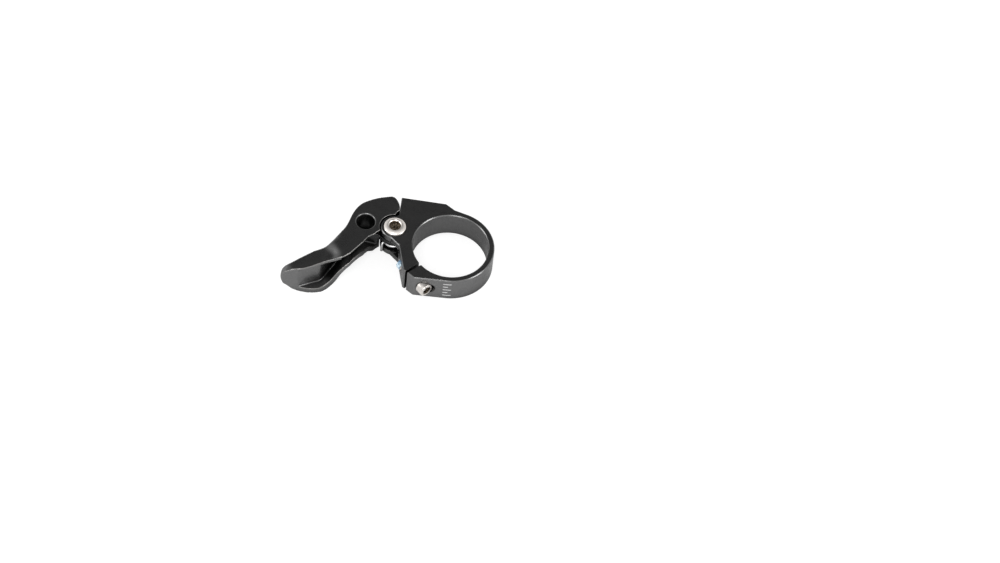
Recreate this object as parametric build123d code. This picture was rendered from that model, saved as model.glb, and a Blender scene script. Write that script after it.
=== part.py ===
# Remote lever for a dropper seatpost, with its hinged bar clamp. All sizes are in millimetres.
# Frame: the origin is on the axis of the bar bore, at mid-width. Z runs along the bar, X runs
# from the lever towards the ring, and Y points away from the paddle's hollow side.
import math
import os

from build123d import *

# Bar clamp, for a 22.2 mm handlebar.
bar_radius = 11.1
ring_wall = 1.7
body_width = 8.6
body_edge = 0.25
back_rise = 2.4

# Fork that carries the pivot, placed from the ring.
pivot_out = 4.1
pivot_up = 4.3
boss_radius = 4.1
slot_gap = 0.75
notch_out = 0.6
notch_fillet = 1.2

# Clamp slit: its direction seen from the bore, and its two widths.
slit_angle = 225.6
slit_offset = -0.3
slit_inner_width = 1.2
slit_outer_width = 0.6

# Clamp screw: an M3 with a small head. Places along its axis are measured from the slit.
screw_radius = 1.5
screw_wall = 0.9
screw_length = 10.0
screw_seat = 3.7
screw_breakout = 3.2
ear_reach = 2.95
ear_corner_reach = 2.25
ear_corner_side = 2.64
head_radius = 2.1
head_height = 2.4
head_hex = 2.5
head_hex_depth = 1.4
screw_clearance = 0.1
counterbore_gap = 0.3
thread_gap = 0.02

# Pivot bolt: a shoulder screw whose end threads into the lower fork plate.
bolt_head_radius = 3.25
bolt_head_proud = 0.8
bolt_head_sunk = 0.4
bolt_head_edge = 0.35
bolt_hex = 3.0
bolt_hex_depth = 0.9
shank_radius = 1.8
bolt_thread_radius = 1.5
running_gap = 0.05

# Hub of the lever, with two flanged bushes pressed into it.
bush_wall = 0.35
bush_flange = 0.35
bush_flange_rim = 0.5
bush_length = 1.7
hub_wall = 0.5
hub_plate = 1.45
hub_rim = 0.5
tongue_angle = 239.0
side_gap = 0.05

# Return spring: a torsion spring with both ends bent along its axis.
wire_radius = 0.4
coil_clear = 0.2
coil_gap = 0.06
turn_gap = 0.12
coil_start = 300.0
coil_turn = 660.0
tang_length = 1.3
tang_gap = 0.1

# Lever head, with the hole for the cable's anchor barrel.
head_gap = 0.4
nose_gap = 0.12
barrel_out = 8.7
barrel_up = 0.6
barrel_radius = 2.7
barrel_edge = 0.3
barrel_wall = 1.2
barrel_floor = 0.9
barrel_drain = 1.3
cable_slot = 2.2
cable_swing = 11.5

# Cable housing seat in the clamp body, on a line that leaves the anchor barrel at this angle.
housing_angle = 33.0
housing_radius = 2.15
stop_wall = 1.67
cable_radius = 1.1

# Sizes that follow from the ones above.
half = body_width / 2
ring_radius = bar_radius + ring_wall
tall = 3 * body_width
pivot_x = -ring_radius - pivot_out
pivot_y = pivot_up
barrel_x = pivot_x - barrel_out
barrel_y = pivot_y + barrel_up
screw_reach = bar_radius + screw_radius + screw_wall
bush_bore = shank_radius + running_gap
bush_radius = bush_bore + bush_wall
tube_radius = bush_radius + hub_wall
coil_radius = tube_radius + coil_clear + wire_radius
coil_rise = coil_turn / 360 * (2 * wire_radius + turn_gap)
hub_radius = coil_radius + wire_radius + hub_rim
slot_radius = hub_radius + slot_gap
fork_gap = side_gap + bush_flange + hub_plate + 2 * (coil_gap + wire_radius) + coil_rise
fork_half = fork_gap / 2
hub_top = fork_half - side_gap - bush_flange

# Outline of the clamp body, clockwise from the notch corner, without the ring and the boss.
notch_corner = (pivot_x + notch_out, ring_radius + back_rise + 0.25)
notch_wall = notch_corner[0] + 0.1
facet_start = (-3.06, ring_radius + back_rise)
facet_end = (-0.3, ring_radius + 0.55)
fork_foot = (pivot_x + 2.0, pivot_y - 6.5)

# Outline of the lever at its top face, from the pivot: far edge, tip, near edge of the paddle, arm.
far_edge = [
    (-2.3, 11.05), (-4.3, 10.45), (-6.6, 9.6), (-8.6, 8.5), (-10.4, 7.2), (-11.8, 5.35),
    (-13.0, 2.25), (-14.1, -2.0), (-15.35, -4.4), (-16.6, -6.25), (-18.25, -8.55), (-20.4, -10.15),
    (-22.3, -11.5), (-24.85, -13.6), (-27.5, -15.75), (-29.3, -17.0),
]
tip = (-30.85, -18.6)
near_top = [(-29.4, -19.75), (-26.7, -18.9), (-24.2, -17.9), (-21.5, -16.2), (-18.9, -14.6),
            (-16.1, -13.9), (-13.4, -13.3)]
near_base = [(-29.4, -18.3), (-27.0, -18.3), (-24.3, -18.5), (-22.3, -18.4), (-19.2, -17.6),
             (-16.5, -15.5), (-13.4, -13.0)]
arm_edge = [(-13.4, -13.3), (-11.6, -11.6), (-9.9, -9.1), (-8.2, -6.65), (-7.2, -4.75)]
heel = [(-5.7, -3.7), (-4.7, -2.4)]
nose = [(notch_wall - nose_gap - pivot_x, 7.5), (0.1, 8.9), (-0.7, 10.2), (-1.4, 10.85)]

# Side view of the lever: X from the pivot, and the drop below the clamp's top or the rise above its base.
side_top = [(-14.4, 0.0), (-15.7, 0.25), (-17.1, 0.95), (-18.7, 1.4), (-21.1, 1.5), (-29.4, 1.7)]
side_end = (-30.8, -1.1)
side_base = [(-27.0, -3.6), (-24.1, -4.1), (-20.6, -4.2), (-17.5, -4.15), (-15.5, -2.95),
             (-14.0, -0.45), (-12.3, 1.55), (-10.5, 2.15), (-8.3, 1.6), (-5.9, 0.4)]

# Hollow on the lever's near side: its outline in plan, and its top and underside in side view.
hollow_web = [(-27.3, -19.3), (-25.7, -18.4), (-24.3, -17.35), (-22.7, -16.25), (-21.1, -15.3),
              (-19.8, -14.5), (-18.9, -13.2), (-18.1, -11.75), (-16.8, -9.9), (-14.7, -7.5), (-12.4, -4.6),
              (-10.3, -3.1), (-8.3, -2.7), (-6.3, -2.5), (-3.6, -2.4)]
hollow_top = [(-28.1, 2.7), (-24.1, 2.6), (-21.1, 2.5), (-18.6, 2.35), (-16.6, 2.0), (-14.9, 1.6),
              (-13.1, 1.35), (-10.1, 1.25), (-7.6, 1.25), (-5.1, 1.25), (-3.1, 1.25)]
hollow_base = [(-28.1, -0.6), (-25.1, -1.8), (-23.1, -2.3), (-21.1, -2.5), (-19.3, -2.55),
               (-17.7, -2.05), (-16.3, -0.95), (-14.9, 1.05), (-13.4, 2.8), (-11.7, 3.8),
               (-9.9, 3.9), (-8.3, 3.4), (-6.7, 2.95), (-5.1, 2.4), (-3.1, 2.2)]


def polar(radius, angle, x=0.0, y=0.0):
    turn = math.radians(angle)
    return x + radius * math.cos(turn), y + radius * math.sin(turn)


def post(radius, low, high, x=pivot_x, y=pivot_y):
    return Pos(x, y, (low + high) / 2) * Cylinder(radius, high - low)


def slab(outline, low, high):
    # A flat outline in plan, made solid between two heights.
    return Pos(0, 0, low) * extrude(make_face(outline), high - low)


def across(lines):
    # A side view, made solid across the whole part.
    reach = 10 * body_width
    face = make_face([Plane.XZ * line for line in lines])
    return Pos(0, -reach / 2, 0) * extrude(face, reach, dir=(0, 1, 0))


def rod(radius, start, length, direction):
    # A cylinder from a place on a slanted axis, along it, or back along it for a negative length.
    middle = Vector(*start) + Vector(*direction) * (length / 2)
    plane = Plane(origin=middle, z_dir=Vector(*direction))
    return plane * Cylinder(radius, abs(length))


def tangent_point(point, radius, side):
    # Where a line from the point touches a circle about the origin.
    reach = math.hypot(*point)
    middle = math.degrees(math.atan2(point[1], point[0]))
    return polar(radius, middle + side * math.degrees(math.acos(radius / reach)))


def from_pivot(points):
    return [(pivot_x + x, pivot_y + y) for x, y in points]


def under_top(points):
    # Places in side view, given as drops below the clamp's top face.
    return [(pivot_x + x, half - drop) for x, drop in points]


def over_base(points):
    # Places in side view, given as rises above the clamp's bottom face.
    return [(pivot_x + x, rise - half) for x, rise in points]


slit_out = (math.cos(math.radians(slit_angle)), math.sin(math.radians(slit_angle)), 0)
screw_dir = (-slit_out[1], slit_out[0], 0)


def by_slit(reach, side):
    # A place in plan, by its distance from the bore along the slit and its distance to the slit's side.
    return tuple(reach * slit_out[k] + side * screw_dir[k] for k in range(2))


def screw_place(along):
    return (*by_slit(screw_reach, along), 0)


ear_left = by_slit(screw_reach + ear_reach, -1.4)
ear_corner = by_slit(screw_reach + ear_corner_reach, ear_corner_side)


def body_plan():
    turn = tangent_point(ear_corner, ring_radius, 1)
    ring_top = polar(ring_radius, 75.0)
    boss_low = polar(boss_radius, 260.0, pivot_x, pivot_y)
    points = [notch_corner, (notch_wall, pivot_y + boss_radius - 0.4), (pivot_x, pivot_y), boss_low,
              fork_foot, ear_left, ear_corner, turn, (0, 0), ring_top, facet_end, facet_start]
    plate = make_face(Polyline(*points, close=True))
    return Circle(ring_radius) + plate + Pos(pivot_x, pivot_y) * Circle(boss_radius)


def slit():
    inner, outer = bar_radius - 2, screw_reach + 2 * ear_reach
    side = Vector(*screw_dir)
    shift = side * slit_offset
    a, b = slit_inner_width / 2, slit_outer_width / 2
    points = []
    for reach, wide in ((inner, -a), (inner, a), (outer, b), (outer, -b)):
        points.append(Vector(*slit_out) * reach + shift + side * wide)
    return slab(Polyline(*points, close=True), -tall, tall)


def fork_slot():
    left = pivot_x - 3 * boss_radius
    points = [(pivot_x, pivot_y + slot_radius), polar(slot_radius, -28, pivot_x, pivot_y),
              fork_foot, (left, fork_foot[1]),
              (left, pivot_y + slot_radius - 0.6)]
    open_side = slab(Polyline(*points, close=True), -fork_half, fork_half)
    return open_side + post(slot_radius, -fork_half, fork_half)


def clamp_body():
    body = Pos(0, 0, -half) * extrude(body_plan(), body_width) - Cylinder(bar_radius, tall)
    inner = body.edges().filter_by(Axis.Z).sort_by_distance((notch_corner[0], pivot_y + boss_radius, 0))
    body = fillet(inner[0], notch_fillet)
    for corner, radius in ((ear_corner, 0.8), (facet_start, 0.3), (notch_corner, 0.3)):
        body = fillet(body.edges().filter_by(Axis.Z).sort_by_distance((*corner, 0))[0], radius)
    rims = body.faces().filter_by(Axis.Z)
    body = chamfer(rims.edges(), body_edge)
    body -= slit()
    body -= fork_slot()
    # Pivot bolt: a sunk head, a plain hole and a threaded hole.
    body -= post(bolt_head_radius + 0.2, half - bolt_head_sunk, tall)
    body -= post(shank_radius + running_gap, 0, tall)
    body -= post(bolt_thread_radius + thread_gap, -tall, 0)
    # Clamp screw: threaded in the left ear, plain in the right one, with a deep head seat.
    tip_place = screw_length - screw_seat
    body -= rod(screw_radius + thread_gap, screw_place(0), -tip_place - screw_breakout, screw_dir)
    body -= rod(screw_radius + screw_clearance, screw_place(0), tall, screw_dir)
    body -= rod(head_radius + counterbore_gap, screw_place(screw_seat), tall, screw_dir)
    # Housing seat and cable hole. The seat ends short of the notch, which leaves the stop wall.
    way = (*polar(1, housing_angle), 0)
    seat_x = notch_wall + stop_wall
    seat = (seat_x, barrel_y + (seat_x - barrel_x) * way[1] / way[0], 0)
    body -= rod(housing_radius, seat, tall, way)
    body -= rod(cable_radius, seat, -2 * stop_wall, way)
    # Hole for the spring's lower tang.
    x, y = polar(coil_radius, coil_start, pivot_x, pivot_y)
    body -= post(wire_radius + tang_gap, -fork_half - tang_length - 0.2, 0, x, y)
    return body


def hex_socket(width, depth):
    # A hexagon socket with a drilled end, down from the origin.
    flat = RegularPolygon(width / 2, 6, major_radius=False)
    tip_radius = 0.3 * width / 2
    cone = Cone(tip_radius, width / 2, 0.3, align=(Align.CENTER, Align.CENTER, Align.MAX))
    return extrude(flat, -depth) + Pos(0, 0, -depth) * cone


def clamp_screw():
    head = Cylinder(head_radius, head_height, align=(Align.CENTER, Align.CENTER, Align.MIN))
    head = fillet(head.edges().sort_by(Axis.Z)[-1], 0.25)
    head -= Pos(0, 0, head_height) * hex_socket(head_hex, head_hex_depth)
    shank = Cylinder(screw_radius, screw_length, align=(Align.CENTER, Align.CENTER, Align.MAX))
    shank = chamfer(shank.edges().sort_by(Axis.Z)[0], 0.35)
    plane = Plane(origin=screw_place(screw_seat), x_dir=(0, 0, 1), z_dir=screw_dir)
    return plane * (head + shank)


def pivot_bolt():
    low, top = half - bolt_head_sunk, half + bolt_head_proud
    head = post(bolt_head_radius, low, top)
    head = fillet(head.edges().sort_by(Axis.Z)[-1], bolt_head_edge)
    head -= Pos(pivot_x, pivot_y, top) * hex_socket(bolt_hex, bolt_hex_depth)
    thread = post(bolt_thread_radius, -half + 0.1, -fork_half)
    thread = chamfer(thread.edges().sort_by(Axis.Z)[0], 0.25)
    return head + post(shank_radius, -fork_half, low) + thread


def hub_bush(up):
    # A plain bush with a flange that runs against the fork plate.
    face = fork_half - side_gap
    bush = post(bush_radius + bush_flange_rim, face - bush_flange, face)
    bush += post(bush_radius, face - bush_length, face)
    bush -= post(bush_bore, 0, tall)
    return bush if up else mirror(bush, Plane.XY)


def return_spring():
    low = -fork_half + wire_radius + coil_gap
    high = low + coil_rise
    steps = 44
    points = []
    for k in range(steps + 1):
        x, y = polar(coil_radius, coil_start + coil_turn * k / steps, pivot_x, pivot_y)
        points.append((x, y, low + (high - low) * k / steps))
    coil = Spline(*points)
    section = Plane(origin=coil @ 0, z_dir=coil % 0) * Circle(wire_radius)
    spring = sweep(section, path=coil, is_frenet=True)
    for end, way in ((points[0], -1), (points[-1], 1)):
        bottom, top = sorted((end[2], end[2] + way * (tang_length + 0.5 * wire_radius)))
        spring += post(wire_radius, bottom, top, end[0], end[1]) + Pos(*end) * Sphere(wire_radius)
    return spring


def lever_ring(near, height):
    # One closed outline of the lever, at the given height.
    clear = boss_radius + head_gap
    start = polar(clear, 205, pivot_x, pivot_y)
    stop = polar(clear, 97, pivot_x, pivot_y)
    wall = notch_wall - nose_gap
    corner = (pivot_x + 0.05, pivot_y + boss_radius + notch_fillet + head_gap)
    far = from_pivot(far_edge)
    close = from_pivot(near)
    lines = [
        Spline(*far),
        ThreePointArc(far[-1], from_pivot([tip])[0], close[0]),
        Spline(*close),
        Polyline(close[-1], *from_pivot(arm_edge[1:] + heel), start),
        ThreePointArc(start, polar(clear, 150, pivot_x, pivot_y), stop),
        Polyline(stop, corner, (wall, corner[1] + 0.4), *from_pivot(nose), far[0]),
    ]
    return Pos(0, 0, height) * Wire([edge for line in lines for edge in line.edges()])


def side_solid():
    # The lever's side view, as a solid across the whole lever.
    top, base = under_top(side_top), over_base(side_base)
    end = (pivot_x + side_end[0], side_end[1])
    lines = [
        Polyline((0, base[-1][1]), (0, top[0][1]), top[0]),
        Spline(*top, tangents=((-1, 0), (-1, 0))),
        ThreePointArc(top[-1], end, base[0]),
        Spline(*base),
        Line(base[-1], (0, base[-1][1])),
    ]
    return across(lines)


def hollow():
    # The lever's hollow, as the solid that is cut away.
    web, top, base = from_pivot(hollow_web), under_top(hollow_top), over_base(hollow_base)
    near = web[0][1] - 20
    plan = [Spline(*web), Polyline(web[-1], (web[-1][0], near), (web[0][0], near), web[0])]
    side = [Spline(*top), Line(top[-1], base[-1]), Spline(*base), Line(base[0], top[0])]
    return slab(plan, -tall, tall) & across(side)


def hub():
    plate_low = hub_top - hub_plate
    left = pivot_x - boss_radius - 1.6
    up = polar(hub_radius, 118, pivot_x, pivot_y)
    # The tongue's near edge leaves the hub's rim along its tangent.
    down = polar(hub_radius, tongue_angle, pivot_x, pivot_y)
    rise = (left - down[0]) * math.tan(math.radians(tongue_angle + 90))
    web = Polyline(up, (left, up[1] + 0.6), (left, down[1] + rise), down, (pivot_x, pivot_y), close=True)
    plate = slab(web, plate_low, hub_top) + post(hub_radius, plate_low, hub_top)
    return plate + post(tube_radius, -hub_top, hub_top)


def lever():
    rings = [lever_ring(near_base, -body_width), lever_ring(near_top, half + 1)]
    shape = Part() + Solid.make_loft(rings, ruled=True)
    shape &= side_solid()
    shape += post(barrel_radius + barrel_wall, -half, 0, barrel_x, barrel_y)
    shape -= hollow()
    shape += hub()
    shape -= post(bush_radius, -tall, tall)
    # The anchor hole has a floor with a small drain, so that the barrel can't drop through.
    shape -= post(barrel_radius, barrel_floor - half, tall, barrel_x, barrel_y)
    shape -= post(barrel_drain, -tall, tall, barrel_x, barrel_y)
    rim = Cone(barrel_radius, barrel_radius + barrel_edge, barrel_edge)
    shape -= Pos(barrel_x, barrel_y, half - barrel_edge / 2) * rim
    # Way for the cable, from the anchor barrel to the notch, wide enough for the whole stroke.
    sides = [polar(2 * barrel_out, housing_angle + turn, barrel_x, barrel_y)
             for turn in (-cable_swing, cable_swing)]
    wedge = Polyline((barrel_x, barrel_y), *sides, close=True)
    shape -= slab(wedge, -cable_slot / 2, cable_slot / 2) - post(slot_radius, -tall, tall)
    x, y = polar(coil_radius, coil_start + coil_turn, pivot_x, pivot_y)
    shape -= post(wire_radius + tang_gap, 0, hub_top + 1, x, y)
    return shape


def main():
    os.makedirs("parts", exist_ok=True)
    pieces = {
        "clamp_body": clamp_body(),
        "clamp_screw": clamp_screw(),
        "pivot_bolt": pivot_bolt(),
        "upper_bush": hub_bush(True),
        "lower_bush": hub_bush(False),
        "return_spring": return_spring(),
        "lever": lever(),
    }
    for name, piece in pieces.items():
        solids = piece.solids()
        print(name, len(solids), round(piece.volume, 2), piece.is_valid)
        export_step(piece, f"parts/{name}.step")


main()
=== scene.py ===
import math

import bpy
from mathutils import Matrix, Vector


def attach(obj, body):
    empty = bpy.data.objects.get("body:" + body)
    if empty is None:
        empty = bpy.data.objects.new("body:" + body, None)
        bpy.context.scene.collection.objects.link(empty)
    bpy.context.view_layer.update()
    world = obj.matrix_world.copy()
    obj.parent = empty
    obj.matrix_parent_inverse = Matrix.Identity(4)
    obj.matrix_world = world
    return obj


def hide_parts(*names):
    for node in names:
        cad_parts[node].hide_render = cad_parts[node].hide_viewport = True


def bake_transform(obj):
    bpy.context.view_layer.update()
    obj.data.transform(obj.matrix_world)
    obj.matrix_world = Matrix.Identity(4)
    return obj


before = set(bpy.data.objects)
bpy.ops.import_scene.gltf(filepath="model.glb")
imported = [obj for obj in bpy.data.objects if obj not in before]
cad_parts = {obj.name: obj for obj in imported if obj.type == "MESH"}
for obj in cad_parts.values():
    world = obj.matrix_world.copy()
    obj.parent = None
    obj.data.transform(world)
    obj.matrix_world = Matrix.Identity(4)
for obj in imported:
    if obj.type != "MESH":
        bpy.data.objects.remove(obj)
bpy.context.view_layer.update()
mm = 0.001
pivot = Vector((-16.9, 4.3, 0))
print("frame loaded:", len(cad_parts), "nodes")


# Mesh helpers

def pick(obj):
    bpy.ops.object.select_all(action="DESELECT")
    obj.select_set(True)
    bpy.context.view_layer.objects.active = obj


def edit(obj):
    pick(obj)
    bpy.ops.object.mode_set(mode="EDIT")
    bpy.ops.mesh.select_all(action="DESELECT")


def leaveEdit():
    bpy.ops.object.mode_set(mode="OBJECT")


def modify(obj, kind, **settings):
    # add one modifier and apply it at once
    pick(obj)
    modifier = obj.modifiers.new(kind.lower(), kind)
    for key, value in settings.items():
        setattr(modifier, key, value)
    bpy.ops.object.modifier_apply(modifier=modifier.name)


def closeMesh(obj):
    # merge doubles and turn all normals outwards
    edit(obj)
    bpy.ops.mesh.select_all(action="SELECT")
    bpy.ops.mesh.remove_doubles(threshold=0.000001)
    bpy.ops.mesh.normals_make_consistent(inside=False)
    leaveEdit()


def freeze(obj, place):
    # put a piece that was modelled at the origin in its place, and keep the place in the mesh
    obj.matrix_world = place
    pick(obj)
    bpy.ops.object.transform_apply(location=True, rotation=True, scale=True)


def merge(pieces):
    pick(pieces[0])
    for piece in pieces:
        piece.select_set(True)
    bpy.ops.object.join()
    return bpy.context.view_layer.objects.active


def smooth(obj, angle=None):
    pick(obj)
    if angle is None:
        bpy.ops.object.shade_smooth()
    else:
        bpy.ops.object.shade_smooth_by_angle(angle=math.radians(angle))


def nudge(obj, place, reach, move):
    # pull the surface round one place, all in mm
    spot = Vector(place) * mm
    edit(obj)
    bpy.ops.mesh.select_mode(type="VERT")
    leaveEdit()
    min(obj.data.vertices, key=lambda vertex: (vertex.co - spot).length_squared).select = True
    bpy.ops.object.mode_set(mode="EDIT")
    bpy.ops.transform.translate(value=Vector(move) * mm, use_proportional_edit=True,
                                proportional_edit_falloff="SMOOTH", proportional_size=reach * mm)
    leaveEdit()


def soften(obj, place, reach, passes):
    # smooth a mesh most at one place, and less towards the rim of its reach, in mm
    group = obj.vertex_groups.new(name="soft")
    for vertex in obj.data.vertices:
        away = sum(((vertex.co[k] / mm - place[k]) / reach[k]) ** 2 for k in range(3))
        if away < 1:
            group.add([vertex.index], 1 - away ** 2, "REPLACE")
    modify(obj, "SMOOTH", factor=0.5, iterations=passes, vertex_group="soft")
    obj.vertex_groups.clear()


def ring(name, sides, radius, turn, place):
    # an open ring of edges, the start of a wire or a thread; size and place in mm, turn in degrees
    bpy.ops.object.select_all(action="DESELECT")
    bpy.ops.mesh.primitive_circle_add(vertices=sides, radius=radius * mm, fill_type="NOTHING",
                                      rotation=[math.radians(angle) for angle in turn])
    obj = bpy.context.active_object
    obj.name = name
    bpy.ops.object.transform_apply(location=False, rotation=True)
    edit(obj)
    bpy.ops.mesh.select_all(action="SELECT")
    bpy.ops.transform.translate(value=Vector(place) * mm)
    leaveEdit()
    return obj


def closeEnds(obj, sides):
    # cap the two open ends of a wire or a thread
    edit(obj)
    bpy.ops.mesh.select_mode(type="EDGE")
    bpy.ops.mesh.select_non_manifold()
    bpy.ops.mesh.fill_holes(sides=sides)
    leaveEdit()
    closeMesh(obj)


def turned(name, sides, profile):
    # a round piece: a disc at the first radius and height, extruded ring by ring, in mm
    radius, height = profile[0]
    bpy.ops.object.select_all(action="DESELECT")
    bpy.ops.mesh.primitive_circle_add(vertices=sides, radius=radius * mm, fill_type="NGON",
                                      location=(0, 0, height * mm))
    obj = bpy.context.active_object
    obj.name = name
    bpy.ops.object.transform_apply(location=True)
    edit(obj)
    bpy.ops.mesh.select_mode(type="FACE")
    bpy.ops.mesh.select_all(action="SELECT")
    for nextRadius, nextHeight in profile[1:]:
        rise = (nextHeight - height) * mm
        bpy.ops.mesh.extrude_region_move(TRANSFORM_OT_translate={"value": (0, 0, rise)})
        grow = nextRadius / radius
        bpy.ops.transform.resize(value=(grow, grow, 1), center_override=(0, 0, nextHeight * mm))
        radius, height = nextRadius, nextHeight
    leaveEdit()
    closeMesh(obj)
    return obj


def cutHex(obj, width, depth, top):
    # hexagon socket with a drilled end, cut down from the top, in mm
    corner = width / math.sqrt(3)
    tool = turned("socketTool", 6, [(0.05 * corner, top - depth - 0.35), (0.5 * corner, top - depth - 0.2),
                                    (corner, top - depth), (corner, top + 1.5)])
    freeze(tool, Matrix.Rotation(math.radians(7), 4, "Z"))  # no corner lies on a line of the round head
    modify(obj, "BOOLEAN", operation="DIFFERENCE", object=tool, solver="EXACT")
    bpy.data.objects.remove(tool)


def threadRidge(name, radius, pitch, low, high):
    # one V ridge wound up a core, in mm, a little narrower than its pitch so that its turns don't touch
    section = 0.97 * pitch / math.sqrt(3)
    obj = ring(name, 3, section, (90, 90, 0), (radius - section, 0, low))
    modify(obj, "SCREW", axis="Z", screw_offset=pitch * mm, iterations=round((high - low) / pitch),
           steps=32, render_steps=32, use_merge_vertices=False)
    closeEnds(obj, 3)
    return obj


# Shader helpers

class Wire:
    # one socket of a node tree; sums and products of sockets add their Math nodes
    def __init__(self, shader, socket):
        self.shader, self.socket = shader, socket

    def maths(self, operation, first, second):
        return self.shader.node("ShaderNodeMath", {"operation": operation}, {0: first, 1: second})

    def __add__(self, other):
        return self.maths("ADD", self, other)

    def __sub__(self, other):
        return self.maths("SUBTRACT", self, other)

    def __rsub__(self, other):
        return self.maths("SUBTRACT", other, self)

    def __mul__(self, other):
        return self.maths("MULTIPLY", self, other)

    def __gt__(self, other):
        return self.maths("GREATER_THAN", self, other)

    def __lt__(self, other):
        return self.maths("LESS_THAN", self, other)

    __radd__ = __add__


class Shader:
    def __init__(self, owner):
        owner.use_nodes = True
        self.owner, self.tree = owner, owner.node_tree
        self.tree.nodes.clear()

    def node(self, kind, settings=None, inputs=None, output=0):
        made = self.tree.nodes.new(kind)
        for key, value in (settings or {}).items():
            setattr(made, key, value)
        for key, value in (inputs or {}).items():
            if isinstance(value, Wire):
                self.tree.links.new(value.socket, made.inputs[key])
            else:
                made.inputs[key].default_value = value
        return Wire(self, made.outputs[output]) if len(made.outputs) else None

    def place(self, scale=(1, 1, 1), turn=(0, 0, 0), shift=(0, 0, 0)):
        spot = self.node("ShaderNodeTexCoord", output="Object")
        return self.node("ShaderNodeMapping", None,
                         {"Vector": spot, "Scale": scale, "Rotation": turn, "Location": shift})

    def axes(self, turn=(0, 0, 0), shift=(0, 0, 0)):
        # the three Object coordinates in mm, turned and then moved
        spot = self.place((1 / mm, 1 / mm, 1 / mm), turn, shift)
        return [self.node("ShaderNodeSeparateXYZ", None, {"Vector": spot}, axis) for axis in "XYZ"]

    def away(self, x, y):
        # distance from the axis that the third coordinate runs along
        return self.node("ShaderNodeMath", {"operation": "SQRT"}, {0: x * x + y * y})

    def noise(self, size, detail=2.0, rough=0.5, stretch=(1, 1, 1)):
        # noise with grains of about this size in mm, from 0 to 1
        return self.node("ShaderNodeTexNoise", {"noise_dimensions": "3D"},
                         {"Vector": self.place(stretch), "Scale": 1 / (size * mm), "Detail": detail,
                          "Roughness": rough}, "Fac")

    def span(self, value, low, high, start=0.0, end=1.0):
        return self.node("ShaderNodeMapRange", {"clamp": True},
                         {"Value": value, "From Min": low, "From Max": high, "To Min": start, "To Max": end})

    def mixColour(self, factor, first, second):
        # between two colours; a Mix node has its colour sockets at 6 and 7 and its colour result at 2
        return self.node("ShaderNodeMix", {"data_type": "RGBA"}, {0: factor, 6: first, 7: second}, 2)

    def edges(self, radius):
        # 0 on flat places, rising to 1 on edges of this radius in mm
        rounded = self.node("ShaderNodeBevel", {"samples": 6}, {"Radius": radius * mm})
        true = self.node("ShaderNodeNewGeometry", output="Normal")
        same = self.node("ShaderNodeVectorMath", {"operation": "DOT_PRODUCT"}, {0: rounded, 1: true}, "Value")
        return 1 - same

    def finish(self, shader):
        self.node("ShaderNodeOutputMaterial", None, {"Surface": shader})
        return self.owner


def grey(value, warm=0.0):
    return (value * (1 + warm), value, value * (1 - warm), 1)


# Finishes

# grain, edge, cavity and hub shade in mm; the cavity and hub shades are painted shade
alloyLook = {
    "dye": 0.135, "rough": 0.29, "metal": 0.92, "grain": 0.09, "tint": 0.5, "coat": 0.3,
    # edges are lighter: partly rubbed through the dye, partly a painted highlight along the edges
    "edge": 0.12, "edgeSpan": (0.03, 0.5), "edgeWearAndHighlight": 0.28, "bend": (0.517, 0.567), "wearAndHighlight": 0.65, "bareAndHighlight": 0.5,
    "cavity": 4.5, "cavitySpan": (0.3, 0.85), "cavityShade": 0.012,
    "hubShade": {"near": 7.0, "far": 12.5, "low": 3.3, "high": 3.9, "shade": 0.025},
}

# plain printed scale on the band: a ladder of short strokes, in mm and degrees round the bore
scaleMarks = {"from": -92.5, "long": -81.5, "short": -86.0, "step": 1.3, "count": 5, "thick": 0.15,
              "surface": 12.5, "white": 0.62}


def printedScale(s):
    # 1 on the strokes, 0 elsewhere
    look = scaleMarks
    x, y, z = s.axes()
    turn = s.node("ShaderNodeMath", {"operation": "ARCTAN2"}, {0: y, 1: x}) * (180 / math.pi)
    out = s.away(x, y) > look["surface"]
    strokes = []
    for k in range(look["count"]):
        height = (k - (look["count"] - 1) / 2) * look["step"]
        off = s.node("ShaderNodeMath", {"operation": "ABSOLUTE"}, {0: z - height})
        reach = look["short"] if k % 2 else look["long"]
        strokes.append((off < look["thick"]) * (turn > look["from"]) * (turn < reach))
    ink = s.span(s.noise(0.22, 3.0, 0.6), 0.25, 0.45)
    return sum(strokes[1:], strokes[0]) * out * ink


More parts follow.
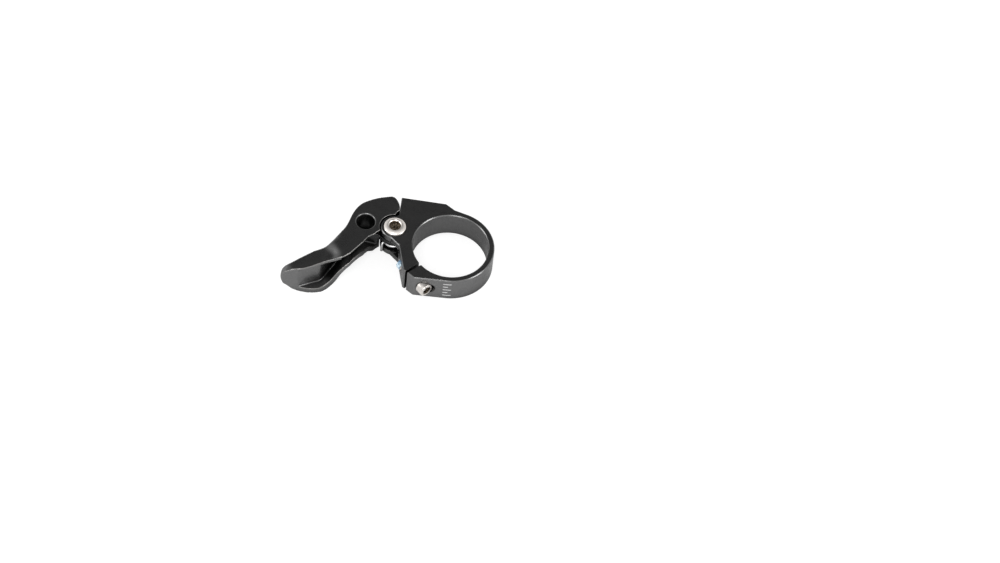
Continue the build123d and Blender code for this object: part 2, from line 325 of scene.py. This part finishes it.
def anodised(name, marked=False, soft=False):
    s = Shader(bpy.data.materials.new(name))
    look = alloyLook
    blast = s.noise(look["grain"], 3.0, 0.6)  # bead blasting under the dye
    cloud = s.noise(2.5, 3.0, 0.55)
    patchy = s.span(s.noise(0.9, 4.0, 0.6), 0.28, 0.6, 0.35, 1.0)
    if soft:  # a dense, rounded mesh shows its edges by their bend
        bend = s.node("ShaderNodeNewGeometry", output="Pointiness")
        wornAndHighlit = s.span(bend, *look["bend"]) * patchy
    else:
        wornAndHighlit = s.span(s.edges(look["edge"]), *look["edgeSpan"]) * patchy * look["edgeWearAndHighlight"]
    dye = s.mixColour(cloud, grey(look["dye"] * 0.9, -0.01), grey(look["dye"] * 1.1, 0.01))
    # rubbed edges and painted edge highlight: the edges' colour is lightened towards pale grey
    colour = s.mixColour(wornAndHighlit * look["wearAndHighlight"], dye, grey(look["bareAndHighlight"], 0.05))
    # painted shade: the colour goes near black in hollows and between close parts, by ambient occlusion
    openness = s.node("ShaderNodeAmbientOcclusion", {"samples": 8}, {"Distance": look["cavity"] * mm}, "AO")
    colour = s.mixColour(s.span(openness, *look["cavitySpan"]), grey(look["cavityShade"]), colour)
    if soft:  # painted shade: darker colour round the hub, below the top face
        hubShadeLook = look["hubShade"]
        x, y, z = s.axes(shift=(-pivot.x, -pivot.y, 0))
        hubShade = s.span(s.away(x, y), hubShadeLook["near"], hubShadeLook["far"], 1.0, 0.0)
        hubShade = hubShade * s.span(z, hubShadeLook["low"], hubShadeLook["high"], 1.0, 0.0) * s.span(cloud, 0.3, 0.5, 0.7, 1.0)
        colour = s.mixColour(hubShade, colour, grey(hubShadeLook["shade"]))
    rough = look["rough"] + (blast - 0.5) * 0.16 + (cloud - 0.5) * 0.08
    metal = look["metal"]
    if marked:
        marks = printedScale(s)
        colour = s.mixColour(marks, colour, grey(scaleMarks["white"]))
        metal = (1 - marks) * metal
    rounded = s.node("ShaderNodeBevel", {"samples": 6}, {"Radius": 0.07 * mm})
    bump = s.node("ShaderNodeBump", None, {"Strength": 0.16, "Distance": 0.03 * mm, "Height": blast,
                                           "Normal": rounded})
    return s.finish(s.node("ShaderNodeBsdfPrincipled", None, {
        "Base Color": colour, "Roughness": rough, "Metallic": metal, "Normal": bump,
        "Specular Tint": grey(look["tint"]), "Coat Weight": look["coat"], "Coat Roughness": 0.14}))


steelLook = {"bright": 0.84, "warm": 0.055, "rough": 0.3, "metal": 0.8,
             "socketTone": (0.018, 0.013, 0.009, 1), "socketPale": (0.3, 0.24, 0.17, 1), "lump": 0.5}


def steel(name, place, socket, dull=1.0):
    # bright screw steel with faint turning rings about its own axis; the socket's inside is darker
    # place is the screw's axis, with the top of its head as the origin
    s = Shader(bpy.data.materials.new(name))
    look = steelLook
    back = place.inverted()
    x, y, z = s.axes(back.to_euler(), back.translation / mm)
    out = s.away(x, y)
    rings = s.node("ShaderNodeTexNoise", {"noise_dimensions": "1D"}, {"W": out, "Scale": 9.0, "Detail": 3.0},
                   "Fac")
    specks = s.noise(0.25, 4.0, 0.65)
    inside = (out < socket["radius"]) * (z > -socket["depth"]) * (z < -0.03)
    bright = look["bright"] * dull
    face = s.mixColour(specks, grey(bright * 0.9, look["warm"]), grey(bright * 1.05, look["warm"]))
    # inside the socket the colour is dark brown with paler brown lumps
    socketTone = s.mixColour(s.span(s.noise(look["lump"], 3.0, 0.7), 0.42, 0.66), look["socketTone"], look["socketPale"])
    colour = s.mixColour(inside, face, socketTone)
    rough = look["rough"] + (rings - 0.5) * 0.2 + inside * 0.2
    bump = s.node("ShaderNodeBump", None, {"Strength": 0.1, "Distance": 0.03 * mm, "Height": rings})
    return s.finish(s.node("ShaderNodeBsdfPrincipled", None, {
        "Base Color": colour, "Roughness": rough, "Metallic": look["metal"], "Normal": bump}))


def springSteel():
    s = Shader(bpy.data.materials.new("springWire"))
    drawn = s.noise(0.12, 3.0, 0.6, (1, 1, 3))
    colour = s.mixColour(drawn, grey(0.5), grey(0.72))
    return s.finish(s.node("ShaderNodeBsdfPrincipled", None, {
        "Base Color": colour, "Roughness": 0.26 + drawn * 0.16, "Metallic": 1.0,
        "Normal": s.node("ShaderNodeBump", None, {"Strength": 0.1, "Distance": 0.02 * mm, "Height": drawn})}))


def bushPlastic():
    s = Shader(bpy.data.materials.new("bushPlastic"))
    grain = s.noise(0.15, 3.0, 0.6)
    colour = s.mixColour(grain, grey(0.05), grey(0.075))
    return s.finish(s.node("ShaderNodeBsdfPrincipled", None, {
        "Base Color": colour, "Roughness": 0.5 + grain * 0.15,
        "Normal": s.node("ShaderNodeBump", None, {"Strength": 0.15, "Distance": 0.02 * mm, "Height": grain})}))


def dress(obj, material):
    obj.data.materials.clear()
    obj.data.materials.append(material)


# Camera, floor and light

cameraLook = {"aim": (15.57, -7.24, 0.0), "distance": 814.0, "elevation": 53.65, "roll": 7.52, "lens": 100.87}


def addCamera():
    look = cameraLook
    camera = bpy.data.objects.new("camera", bpy.data.cameras.new("camera"))
    bpy.context.scene.collection.objects.link(camera)
    tilt = Matrix.Rotation(math.radians(90 - look["elevation"]), 4, "X")
    roll = Matrix.Rotation(math.radians(look["roll"]), 4, "Z")
    aim = Matrix.Translation(Vector(look["aim"]) * mm)
    camera.matrix_world = aim @ tilt @ roll @ Matrix.Translation((0, 0, look["distance"] * mm))
    camera.data.sensor_fit = "HORIZONTAL"
    camera.data.sensor_width = 36.0
    camera.data.lens = look["lens"]
    camera.data.clip_start, camera.data.clip_end = 0.01, 20.0
    bpy.context.scene.camera = camera


# low, from and reach in mm, size in m; reach is how far round the piece the painted shadow spreads
floorLook = {"low": 4.3, "from": 12.6, "lean": 0.0885, "size": 3.0, "glow": 0.79, "shade": 0.33, "gloss": 0.12,
             "paper": 40.0, "reach": 12.0, "shadowSpan": (0.15, 0.75), "dark": 0.3, "pale": 0.97}


def seenRays(s, share):
    # 1 for what the camera sees, and this share for what a gloss or a glass sees
    seen = s.node("ShaderNodeLightPath", output="Is Camera Ray")
    gloss = s.node("ShaderNodeLightPath", output="Is Glossy Ray")
    glass = s.node("ShaderNodeLightPath", output="Is Transmission Ray")
    return s.node("ShaderNodeClamp", None, {"Value": seen + (gloss + glass) * share})


def addFloor():
    look = floorLook
    bpy.ops.object.select_all(action="DESELECT")
    bpy.ops.mesh.primitive_plane_add(size=look["size"])
    floor = bpy.context.active_object
    floor.name = "floor"
    edit(floor)
    bpy.ops.mesh.select_all(action="SELECT")
    bpy.ops.mesh.subdivide(number_cuts=3)
    leaveEdit()
    # the piece leans on its paddle, so the table is tilted in the clamp's own frame
    lean = math.atan(look["lean"])
    freeze(floor, Matrix.Translation((look["from"] * mm, 0, -look["low"] * mm)) @ Matrix.Rotation(-lean, 4, "Y"))
    s = Shader(bpy.data.materials.new("paleTable"))
    paper = s.noise(look["paper"], 2.0, 0.5)
    # painted shadow: for every ray but the camera's, the floor's colour darkens near the piece, by ambient
    # occlusion
    near = s.node("ShaderNodeAmbientOcclusion", {"samples": 8}, {"Distance": look["reach"] * mm}, "AO")
    paintedShadowFloor = s.node("ShaderNodeBsdfDiffuse", None, {"Color": s.mixColour(
        s.span(near, *look["shadowSpan"]), grey(look["dark"]), grey(look["pale"]))})
    shade = s.node("ShaderNodeBsdfDiffuse", None, {"Color": s.mixColour(
        paper, grey(look["shade"]), grey(look["shade"] * 1.03))})
    glow = s.node("ShaderNodeEmission", None, {"Color": grey(1.0), "Strength": look["glow"]})
    seen = s.node("ShaderNodeAddShader", None, {0: shade, 1: glow})
    rays = seenRays(s, look["gloss"])
    dress(floor, s.finish(s.node("ShaderNodeMixShader", None, {0: rays, 1: paintedShadowFloor, 2: seen})))


worldLook = {"fill": 0.6, "dark": 0.07, "bright": 1.0, "aside": 0.56, "within": 0.93, "rear": 54.0}


def addWorld():
    look = worldLook
    world = bpy.data.worlds.new("studio")
    bpy.context.scene.world = world
    s = Shader(world)
    way = s.node("ShaderNodeTexCoord", output="Generated")
    rear = math.radians(look["rear"])  # the one dark part of the tent, behind and above
    near = s.node("ShaderNodeVectorMath", {"operation": "DOT_PRODUCT"},
                  {0: way, 1: (0, math.cos(rear), math.sin(rear))}, "Value")
    tent = s.span(near, look["aside"], look["within"], look["bright"], look["dark"])
    gloss = s.node("ShaderNodeLightPath", output="Is Glossy Ray")
    seen = s.node("ShaderNodeLightPath", output="Is Camera Ray")
    strength = (1 - gloss) * look["fill"] + gloss * tent
    strength = (1 - seen) * strength + seen
    back = s.node("ShaderNodeBackground", None, {"Color": grey(1.0), "Strength": strength})
    s.node("ShaderNodeOutputWorld", None, {"Surface": back})


# place, aim and size in mm, power in W
lampLook = {
    "key": {"place": (-90, -430, 540), "aim": (-5, 0, 0), "size": 300, "power": 2.0},
    "side": {"place": (460, -160, 300), "aim": (-5, 0, 0), "size": 260, "power": 1.1},
    "left": {"place": (-520, -60, 260), "aim": (-5, 0, 0), "size": 240, "power": 0.7},
}


def addLamps():
    for name, look in lampLook.items():
        data = bpy.data.lights.new(name, "AREA")
        data.shape, data.size, data.energy = "DISK", look["size"] * mm, look["power"]
        lamp = bpy.data.objects.new(name, data)
        bpy.context.scene.collection.objects.link(lamp)
        lamp.location = Vector(look["place"]) * mm
        lamp.rotation_euler = (Vector(look["place"]) - Vector(look["aim"])).to_track_quat("Z", "Y").to_euler()


bpy.context.scene.view_settings.view_transform = "Standard"
addCamera()
addFloor()
addWorld()
addLamps()
print("camera, floor and light set")


# Clamp body and bushes: the frame's own shapes with better finishes

blackAlloy = anodised("blackAlloy", soft=True)
dress(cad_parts["clamp_body"], anodised("blackAlloyMarked", marked=True))
moulded = bushPlastic()
for node in ("upper_bush", "lower_bush"):
    dress(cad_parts[node], moulded)
print("clamp body and bushes dressed")


# Lever: the frame's lever with soft forged edges

# in mm; a nudge is a place, its reach and the move, and a soft spot is a place, its reaches and the passes
leverShape = {
    "voxel": 0.162, "passes": 4,
    "lip": {"from": (-30.4, -9.1), "to": (-21.4, 3.3), "inside": 1.5, "outside": 2.0, "low": 2.6, "high": 3.7,
            "round": 0.25},
    "nudges": [((-34.4, -4.0, 3.6), 3.2, (0, 0, 0.72)),  # the step's far end
               ((-32.8, -8.3, 3.8), 2.7, (0, 0, -0.7)),  # its near end
               ((-47.3, -14.3, 2.6), 2.6, (0, 0, -0.8))],  # the paddle's tip
    "soft": [((-34.2, -6.2, 3.7), (5.5, 4.6, 2.2), 85),
             ((-46.6, -14.0, 2.8), (5.0, 5.0, 3.0), 46),
             ((-46.3, -12.8, -2.0), (2.6, 2.6, 8.0), 69)],
}


def thinLip(lever):
    # the top plate is thin along the arm's near edge: a slot cut under it
    look = leverShape["lip"]
    start, end = Vector(look["from"]), Vector(look["to"])
    along = end - start
    low, high, inside, outside = look["low"], look["high"], look["inside"], look["outside"]
    bpy.ops.object.select_all(action="DESELECT")
    bpy.ops.mesh.primitive_cube_add(size=1)
    tool = bpy.context.active_object
    edit(tool)
    bpy.ops.mesh.select_all(action="SELECT")
    bpy.ops.transform.resize(value=(along.length * mm, (inside + outside) * mm, (high - low) * mm))
    bpy.ops.mesh.bevel(offset=look["round"] * mm, segments=3)
    leaveEdit()
    middle = (start + end) / 2 + Vector((along.y, -along.x)).normalized() * (outside - inside) / 2
    turn = math.atan2(along.y, along.x)
    freeze(tool, Matrix.Translation((middle.x * mm, middle.y * mm, (low + high) / 2 * mm))
           @ Matrix.Rotation(turn, 4, "Z"))
    modify(lever, "BOOLEAN", operation="DIFFERENCE", object=tool, solver="EXACT")
    bpy.data.objects.remove(tool)


def addLever():
    look = leverShape
    pick(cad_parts["lever"])
    bpy.ops.object.duplicate()
    lever = bpy.context.active_object
    lever.name = "leverBody"
    for key in list(lever.keys()):  # the copy is a piece of its own, without the node's tags
        del lever[key]
    lever.parent = None
    bpy.ops.mesh.customdata_custom_splitnormals_clear()
    closeMesh(lever)
    thinLip(lever)
    modify(lever, "REMESH", mode="VOXEL", voxel_size=look["voxel"] * mm, adaptivity=0.0)
    for place, reach, move in look["nudges"]:
        nudge(lever, place, reach, move)
    for place, reach, passes in look["soft"]:
        soften(lever, place, reach, passes)
    modify(lever, "SMOOTH", factor=0.5, iterations=look["passes"])
    smooth(lever)
    dress(lever, blackAlloy)
    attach(lever, "lever_arm")
    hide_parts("lever")
    lever.data.calc_loop_triangles()
    print("lever:", len(lever.data.loop_triangles), "triangles")


addLever()


# Pivot bolt: shoulder screw with a low domed head

boltShape = {"head": 3.25, "under": 3.9, "rim": 4.36, "top": 5.1, "shank": 1.8, "shoulder": -2.23,
             "core": 1.26, "thread": 1.5, "pitch": 0.5, "end": -4.2, "hex": 2.9, "depth": 1.0, "edge": 0.32,
             "dome": [(2.85, 0.33), (2.6, 0.2), (2.35, 0.1), (2.1, 0.03), (1.92, 0.0), (1.6, 0.3)]}


def addPivotBolt():
    look = boltShape
    profile = [(look["core"] - 0.25, look["end"]), (look["core"], look["end"] + 0.25),
               (look["core"], look["shoulder"]), (look["shank"], look["shoulder"]),
               (look["shank"], look["under"]), (look["head"] - 0.08, look["under"]),
               (look["head"], look["under"] + 0.08), (look["head"], look["rim"])]
    edge = look["edge"]
    for angle in (17.5, 35.0, 52.5, 70.0):  # rounded rim
        turn = math.radians(angle)
        profile.append((look["head"] - edge * (1 - math.cos(turn)), look["rim"] + edge * math.sin(turn)))
    for radius, drop in look["dome"]:
        profile.append((radius, look["top"] - drop))
    bolt = turned("pivotBolt", 96, profile)
    cutHex(bolt, look["hex"], look["depth"], look["top"])
    ridge = threadRidge("boltThread", look["thread"], look["pitch"], look["end"] + 0.35, look["shoulder"] - 0.15)
    bolt = merge([bolt, ridge])
    freeze(bolt, Matrix.Translation(pivot * mm))
    smooth(bolt, 35)
    socket = {"radius": 1.75, "depth": 1.6}
    dress(bolt, steel("boltSteel", Matrix.Translation((pivot + Vector((0, 0, look["top"]))) * mm), socket))
    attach(bolt, "clamp")
    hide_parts("pivot_bolt")
    print("pivot bolt:", len(bolt.data.polygons), "faces")


addPivotBolt()


# Clamp screw: small socket head across the slit, with thread locker on its bare end

screwShape = {"reach": 13.5, "angle": 225.6, "seat": 3.7, "head": 2.1, "height": 2.4, "core": 1.26,
              "thread": 1.5, "pitch": 0.5, "length": 10.0, "hex": 2.5, "depth": 1.4}


def screwPlace():
    look = screwShape
    turn = math.radians(look["angle"])
    out = Vector((math.cos(turn), math.sin(turn), 0))
    along = Vector((-out.y, out.x, 0))
    middle = out * look["reach"] + along * look["seat"]
    return Matrix.Translation(middle * mm) @ along.to_track_quat("Z", "Y").to_matrix().to_4x4()


def addClampScrew():
    look = screwShape
    head, height, core, thread, length = (look[key] for key in ("head", "height", "core", "thread", "length"))
    profile = [(core - 0.3, -length), (core, -length + 0.3), (core, -0.4), (thread, -0.3), (thread, 0),
               (head - 0.06, 0), (head, 0.06), (head, height - 0.3), (head - 0.05, height - 0.14),
               (head - 0.16, height - 0.03), (head - 0.3, height)]
    screw = turned("clampScrew", 96, profile)
    cutHex(screw, look["hex"], look["depth"], height)
    ridge = threadRidge("screwThread", thread, look["pitch"], -length + 0.4, -0.6)
    screw = merge([screw, ridge])
    place = screwPlace()
    freeze(screw, place)
    smooth(screw, 35)
    socket = {"radius": 1.46, "depth": 2.0}
    dress(screw, steel("screwSteel", place @ Matrix.Translation((0, 0, height * mm)), socket, 0.68))
    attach(screw, "clamp")
    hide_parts("clamp_screw")
    print("clamp screw:", len(screw.data.polygons), "faces")


addClampScrew()


# Thread locker: a dried, lumpy collar round the screw's bare end

lockerShape = {"radius": 1.55, "low": -10.1, "high": -8.4, "voxel": 0.07, "lump": 0.42, "bump": 0.32}


def driedLocker():
    s = Shader(bpy.data.materials.new("driedLocker"))
    cloud = s.span(s.noise(0.9, 3.0, 0.6), 0.42, 0.6)
    grain = s.noise(0.12, 3.0, 0.6)
    colour = s.mixColour(cloud, (0.62, 0.76, 0.85, 1), (0.07, 0.18, 0.31, 1))
    return s.finish(s.node("ShaderNodeBsdfPrincipled", None, {
        "Base Color": colour, "Roughness": 0.3 + grain * 0.2,
        "Normal": s.node("ShaderNodeBump", None, {"Strength": 0.2, "Distance": 0.03 * mm, "Height": grain})}))


def addThreadLocker():
    look = lockerShape
    radius, low, high = look["radius"], look["low"], look["high"]
    collar = turned("threadLocker", 48, [(radius * 0.8, low), (radius, low + 0.25), (radius, high - 0.2),
                                         (radius * 0.9, high)])
    modify(collar, "REMESH", mode="VOXEL", voxel_size=look["voxel"] * mm, adaptivity=0.0)
    lumps = bpy.data.textures.new("lumps", "CLOUDS")
    lumps.noise_scale, lumps.noise_depth = look["lump"] * mm, 1
    modify(collar, "DISPLACE", texture=lumps, texture_coords="LOCAL", strength=look["bump"] * mm, mid_level=0.45)
    modify(collar, "SMOOTH", factor=0.5, iterations=3)
    freeze(collar, screwPlace())
    smooth(collar)
    dress(collar, driedLocker())
    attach(collar, "clamp")
    print("thread locker:", len(collar.data.polygons), "faces")


addThreadLocker()


# Return spring: round wire wound about the pivot, one end in the lower plate and one in the hub

springWire = springSteel()
springShape = {"radius": 3.3, "wire": 0.4, "low": -1.768, "rise": 1.687, "start": 300.0, "turn": 660.0,
               "tang": 1.3}


def addSpring():
    look = springShape
    wire = ring("returnSpring", 20, look["wire"], (90, 0, 0), (look["radius"], 0, look["low"]))
    modify(wire, "SCREW", axis="Z", angle=math.radians(look["turn"]), screw_offset=look["rise"] * mm,
           iterations=1, steps=132, render_steps=132, use_merge_vertices=False)
    closeEnds(wire, 20)
    tangs = []
    top = look["low"] + look["rise"]
    for turn, base, tip in ((0, look["low"], -look["tang"]), (look["turn"], top, look["tang"])):
        low, high = sorted((base, base + tip))
        tang = turned("tang", 20, [(look["wire"] - 0.08, low), (look["wire"], low + 0.08),
                                   (look["wire"], high - 0.08), (look["wire"] - 0.08, high)])
        freeze(tang, Matrix.Rotation(math.radians(turn), 4, "Z") @ Matrix.Translation((look["radius"] * mm, 0, 0)))
        tangs.append(tang)
    wire = merge([wire] + tangs)
    freeze(wire, Matrix.Translation(pivot * mm) @ Matrix.Rotation(math.radians(look["start"]), 4, "Z"))
    smooth(wire, 50)
    dress(wire, springWire)
    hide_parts("return_spring")
    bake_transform(wire)
    print("return spring:", len(wire.data.polygons), "faces")


addSpring()


# Spring's hook: the wire's upper end, bent out and down behind the lever's heel

hookShape = {"wire": 0.42, "from": 3.1, "reach": 4.6, "turn": 226.0, "high": -0.12, "low": -3.5, "bend": 0.6,
             "steps": 6}


def addSpringHook():
    look = hookShape
    bend, high, steps = look["bend"], look["high"], look["steps"]
    hook = ring("springHook", 20, look["wire"], (0, 90, 0), (look["from"], 0, high))
    edit(hook)
    bpy.ops.mesh.select_mode(type="EDGE")
    bpy.ops.mesh.select_all(action="SELECT")
    run = look["reach"] - bend - look["from"]
    bpy.ops.mesh.extrude_region_move(TRANSFORM_OT_translate={"value": (run * mm, 0, 0)})
    centre = ((look["reach"] - bend) * mm, 0, (high - bend) * mm)
    for step in range(steps):  # round the bend
        bpy.ops.mesh.extrude_region_move(TRANSFORM_OT_translate={"value": (0, 0, 0)})
        bpy.ops.transform.rotate(value=math.radians(-90 / steps), orient_axis="Y", center_override=centre)
    bpy.ops.mesh.extrude_region_move(TRANSFORM_OT_translate={"value": (0, 0, (look["low"] - high + bend) * mm)})
    bpy.ops.mesh.extrude_region_move(TRANSFORM_OT_translate={"value": (0, 0, -0.15 * mm)})
    bpy.ops.transform.resize(value=(0.6, 0.6, 1))
    leaveEdit()
    closeEnds(hook, 20)
    freeze(hook, Matrix.Translation(pivot * mm) @ Matrix.Rotation(math.radians(look["turn"]), 4, "Z"))
    smooth(hook, 50)
    dress(hook, springWire)
    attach(hook, "lever_arm")
    print("spring hook:", len(hook.data.polygons), "faces")


addSpringHook()
